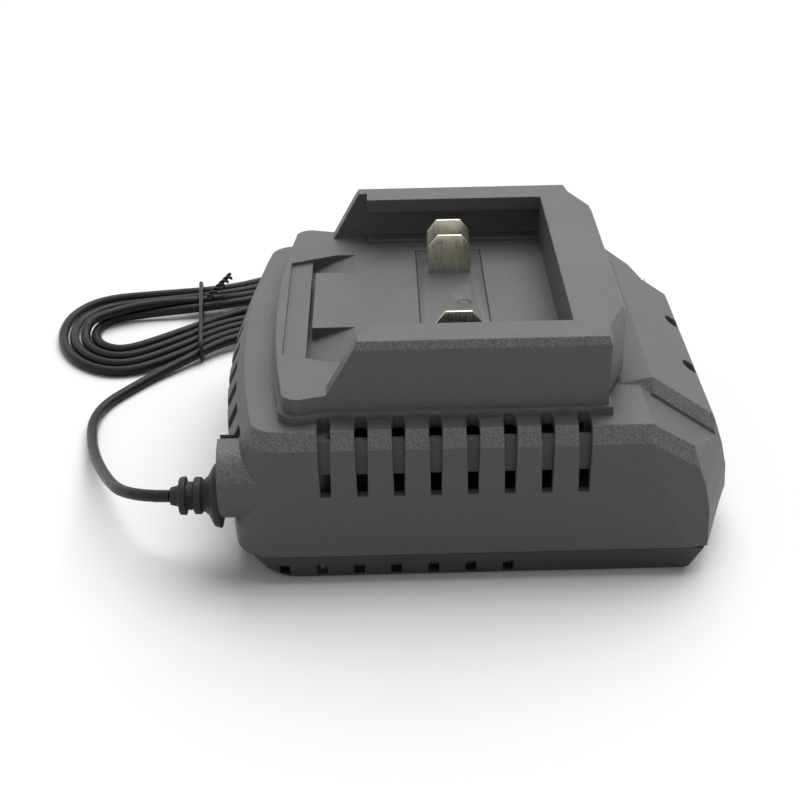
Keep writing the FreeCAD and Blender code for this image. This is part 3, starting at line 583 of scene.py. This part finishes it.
class CHARGER_OT_twist_tie(bpy.types.Operator):
    """Twist the two ends of the wire tie that holds the hank"""
    bl_idname = "charger.twist_tie"
    bl_label = "Twist tie"

    def execute(self, context):
        coated = scuffed("Tie coating", (0.016, 0.017, 0.017), 0.35, size=0.001, gloss=0.2)
        wear(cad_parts["twist_tie"], coated)
        bpy.ops.object.select_all(action="DESELECT")
        bpy.ops.mesh.primitive_circle_add(vertices=TIE_WIRE_SIDES, radius=TIE_WIRE_R,
                                          location=(TIE_WIRE_APART, 0, 0), rotation=(math.pi / 2, 0, 0))
        first = context.object
        first.name = "tie_twist"
        first.data.transform(first.matrix_world)
        first.matrix_world = Matrix.Identity(4)
        apply_modifier(first, "SCREW", angle=math.radians(360), screw_offset=TIE_TURN_LENGTH,
                       iterations=TIE_TURNS, steps=TIE_STEPS, render_steps=TIE_STEPS, use_merge_vertices=True)
        second = bpy.data.objects.new("tie_twist_other", first.data.copy())
        context.scene.collection.objects.link(second)
        second.data.transform(Matrix.Rotation(math.pi, 4, "Z"))
        activate(first)
        second.select_set(True)
        bpy.ops.object.join()
        bpy.ops.object.mode_set(mode="EDIT")
        bpy.ops.mesh.select_all(action="SELECT")
        bpy.ops.mesh.region_to_loop()
        bpy.ops.mesh.edge_face_add()
        bpy.ops.mesh.select_all(action="SELECT")
        bpy.ops.mesh.normals_make_consistent(inside=False)
        bpy.ops.object.mode_set(mode="OBJECT")
        bpy.ops.object.shade_smooth_by_angle(angle=math.radians(50))
        lay = Matrix.Rotation(TIE_HEADING, 4, "Z") @ Matrix.Rotation(TIE_LEAN, 4, "Y")
        place(first, Matrix.Translation(TIE_AT) @ lay)
        wear(first, coated)
        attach(first, "root")
        return {"FINISHED"}


class CHARGER_OT_plug(bpy.types.Operator):
    """Finish the two-pin plug at the far end of the lead"""
    bl_idname = "charger.plug"
    bl_label = "Plug"

    def execute(self, context):
        finish = context.scene.charger_finish
        body = softened("plug_body", "plug_grip", 0.0003, sharp=40.0)
        jacket = moulded("Plug grip", tuple(finish.cord_colour), 0.45, 0.00003, dust=0.04)
        wear(body, jacket)
        pins = softened("plug_pins", "plug_pins_nickel", 0.00012, sharp=40.0)
        wear(pins, nickel(finish))
        return {"FINISHED"}


# Cases, dock and lights


class CHARGER_OT_cases(bpy.types.Operator):
    """Give both mouldings their grain, rubbed edges, dust, and a painted highlight on the slanting bands"""
    bl_idname = "charger.cases"
    bl_label = "Upper and lower case"

    def execute(self, context):
        finish = context.scene.charger_finish
        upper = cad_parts["upper_housing"]
        wear(upper, moulded("Case plastic", tuple(finish.case_colour), 0.52, 0.00006))
        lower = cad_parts["lower_housing"]
        base = moulded("Base plastic", tuple(finish.base_colour), 0.56, 0.00005, dust=0.05)
        wear(lower, base)
        return {"FINISHED"}


def nickel(finish):
    """The plate on the blades and the plug's pins."""
    return scuffed("Nickel plate", tuple(finish.blade_colour), 0.30, metallic=1.0, size=0.0005,
                   depth=0.000006, contrast=0.05)


class CHARGER_OT_terminals(bpy.types.Operator):
    """Finish the terminal plate and its three nickel blades"""
    bl_idname = "charger.terminals"
    bl_label = "Battery terminals"

    def execute(self, context):
        finish = context.scene.charger_finish
        plate = softened("terminal_block", "terminal_plate", 0.00015)
        insert = moulded("Terminal plate", tuple(finish.insert_colour), 0.48, 0.00003, dust=0.06)
        wear(plate, insert)
        for node in ("positive_blade", "signal_blade", "negative_blade"):
            piece = softened(node, node + "_plated", 0.00018)
            wear(piece, nickel(finish))
        return {"FINISHED"}


def lens_material(name, colour):
    """A diffuse resin lens that isn't lit."""
    if name in MATERIALS:
        return MATERIALS[name]
    material, tree, shader = start_material(name, Transmission_Weight=0.35, IOR=1.5)
    scuffs = use_group(tree, "scuff", Size=0.0012)
    tree.links.new(mixed(tree, scuffs.outputs["Slow"], tinted(colour, 0.85), tinted(colour, 1.15)),
                   shader.inputs["Base Color"])
    tree.links.new(ranged(tree, scuffs.outputs["Mask"], 0.0, 1.0, 0.16, 0.28), shader.inputs["Roughness"])
    MATERIALS[name] = material
    return material


class CHARGER_OT_lights(bpy.types.Operator):
    """Finish the lenses of the two status lights"""
    bl_idname = "charger.lights"
    bl_label = "Status lights"

    def execute(self, context):
        wear(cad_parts["green_light"], lens_material("Green lens", (0.16, 0.34, 0.22)))
        wear(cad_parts["red_light"], lens_material("Red lens", (0.24, 0.10, 0.09)))
        return {"FINISHED"}


# Each board part: its finish, colour, roughness, metalness and slot
BOARD_PARTS = {
    "circuit_board": ("Solder mask", (0.03, 0.16, 0.07), 0.32, 0.0, "board"),
    "light_board": ("Solder mask", (0.03, 0.16, 0.07), 0.32, 0.0, "board"),
    "transformer_core": ("Ferrite", (0.03, 0.03, 0.033), 0.62, 0.0, "ferrite"),
    "transformer_bobbin": ("Winding tape", (0.72, 0.50, 0.06), 0.34, 0.0, "winding_tape"),
    "choke": ("Copper winding", (0.62, 0.24, 0.09), 0.30, 1.0, "winding_tape"),
    "input_capacitor": ("Capacitor sleeve", (0.02, 0.03, 0.08), 0.25, 0.0, "capacitor_sleeve"),
    "output_capacitors": ("Capacitor sleeve", (0.02, 0.03, 0.08), 0.25, 0.0, "capacitor_sleeve"),
    "heat_sink": ("Rolled aluminium", (0.68, 0.68, 0.69), 0.38, 1.0, "aluminium"),
    "power_transistor": ("Moulded package", (0.03, 0.03, 0.03), 0.45, 0.0, "package"),
    "bridge_rectifier": ("Moulded package", (0.03, 0.03, 0.03), 0.45, 0.0, "package"),
    "fuse": ("Moulded package", (0.03, 0.03, 0.03), 0.45, 0.0, "package"),
    "mains_leads": ("Lead jacket", (0.05, 0.05, 0.05), 0.35, 0.0, "cord_jacket"),
    "battery_leads": ("Red lead", (0.38, 0.03, 0.03), 0.35, 0.0, "lead_red"),
}


class CHARGER_OT_board(bpy.types.Operator):
    """Finish the circuit board and what stands on it"""
    bl_idname = "charger.board"
    bl_label = "Board and its parts"

    def execute(self, context):
        for node, (name, colour, rough, metallic, slot) in BOARD_PARTS.items():
            wear(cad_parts[node], scuffed(name, colour, rough, metallic=metallic, size=0.0009))
        return {"FINISHED"}


class CHARGER_OT_screws(bpy.types.Operator):
    """Finish the case and board screws"""
    bl_idname = "charger.screws"
    bl_label = "Screws"

    def execute(self, context):
        zinc = scuffed("Zinc plate", (0.46, 0.46, 0.47), 0.36, metallic=1.0, size=0.0006, depth=0.000008)
        for node in ("case_screws", "board_screws"):
            wear(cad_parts[node], zinc)
        return {"FINISHED"}


# The stage


def seen_directly(tree):
    """1 for the camera's rays and for mirror and clear ones, 0 for light that bounces."""
    path = tree.nodes.new("ShaderNodeLightPath")
    first = math_node(tree, "MAXIMUM", path.outputs["Is Camera Ray"], path.outputs["Is Glossy Ray"])
    return math_node(tree, "MAXIMUM", first, path.outputs["Is Transmission Ray"])


class CHARGER_OT_stage(bpy.types.Operator):
    """Set the pale floor, the soft light and the camera at the photograph's view"""
    bl_idname = "charger.stage"
    bl_label = "Stage"

    def execute(self, context):
        settings = context.scene.charger_stage
        bpy.ops.object.select_all(action="DESELECT")
        bpy.ops.mesh.primitive_plane_add(size=FLOOR_SIZE)
        floor = context.object
        floor.name = "floor"
        material, tree, shader = start_material("Studio floor", Roughness=0.9)
        shader.inputs["Specular IOR Level"].default_value = 0.1
        bounce, pale = tuple(settings.bounce_colour), tuple(settings.floor_colour)
        tree.links.new(mixed(tree, seen_directly(tree), bounce, pale), shader.inputs["Base Color"])
        floor.data.materials.append(material)

        world = bpy.data.worlds.new("Studio")
        context.scene.world = world
        world.use_nodes = True
        tree = world.node_tree
        background = tree.nodes["Background"]
        background.inputs["Color"].default_value = (1, 1, 1, 1)
        strength = ranged(tree, seen_directly(tree), 0.0, 1.0, settings.fill_strength, 1.0)
        tree.links.new(strength, background.inputs["Strength"])

        key = bpy.data.lights.new("Key", "SUN")
        key.energy = settings.key_strength
        key.angle = LAMP_SPREAD
        lamp = bpy.data.objects.new("Key", key)
        context.scene.collection.objects.link(lamp)
        lamp.rotation_mode = "QUATERNION"
        lamp.rotation_quaternion = LAMP_TOWARDS.to_track_quat("-Z", "Y")

        forward = Vector((math.sin(CAMERA_RIGHT) * math.cos(CAMERA_DOWN),
                          math.cos(CAMERA_RIGHT) * math.cos(CAMERA_DOWN), -math.sin(CAMERA_DOWN)))
        level = forward.cross(Vector((0, 0, 1))).normalized()
        upright = level.cross(forward)
        right = level * math.cos(CAMERA_ROLL) + upright * math.sin(CAMERA_ROLL)
        up = -level * math.sin(CAMERA_ROLL) + upright * math.cos(CAMERA_ROLL)
        lens = bpy.data.cameras.new("Camera")
        lens.lens = CAMERA_LENS
        lens.sensor_width = SENSOR_WIDTH
        lens.clip_start = NEAREST_SEEN
        camera = bpy.data.objects.new("Camera", lens)
        context.scene.collection.objects.link(camera)
        turned = Matrix((right, up, -forward)).transposed().to_4x4()
        camera.matrix_world = Matrix.Translation(CAMERA_AT) @ turned
        context.scene.camera = camera
        context.scene.view_settings.view_transform = "Standard"
        return {"FINISHED"}


OPERATORS = (CHARGER_OT_stage, CHARGER_OT_mains_lead, CHARGER_OT_boot, CHARGER_OT_twist_tie, CHARGER_OT_plug,
             CHARGER_OT_cases, CHARGER_OT_terminals, CHARGER_OT_lights, CHARGER_OT_board, CHARGER_OT_screws)


class CHARGER_PT_panel(bpy.types.Panel):
    """Lists the steps that finish the charger"""
    bl_idname = "CHARGER_PT_panel"
    bl_label = "Battery charger"
    bl_space_type = "VIEW_3D"
    bl_region_type = "UI"
    bl_category = "Charger"

    def draw(self, context):
        layout = self.layout
        for group_name in SETTINGS:
            settings = getattr(context.scene, group_name)
            box = layout.box()
            for name in settings.__annotations__:
                box.prop(settings, name)
        for operator in OPERATORS:
            layout.operator(operator.bl_idname)


SETTINGS = {"charger_finish": ChargerFinish, "charger_lead": ChargerLead, "charger_stage": ChargerStage}


def register():
    """Registers the settings, the steps and the panel."""
    for kind in (*SETTINGS.values(), *OPERATORS, CHARGER_PT_panel):
        bpy.utils.register_class(kind)
    for name, kind in SETTINGS.items():
        setattr(bpy.types.Scene, name, bpy.props.PointerProperty(type=kind))


def unregister():
    """Takes away what register added."""
    for name in SETTINGS:
        delattr(bpy.types.Scene, name)
    for kind in (CHARGER_PT_panel, *reversed(OPERATORS), *reversed(SETTINGS.values())):
        bpy.utils.unregister_class(kind)


def main():
    """Runs every step in order."""
    register()
    for operator in OPERATORS:
        area, name = operator.bl_idname.split(".")
        getattr(getattr(bpy.ops, area), name)()
    bpy.context.view_layer.update()


if __name__ == "__main__":
    main()
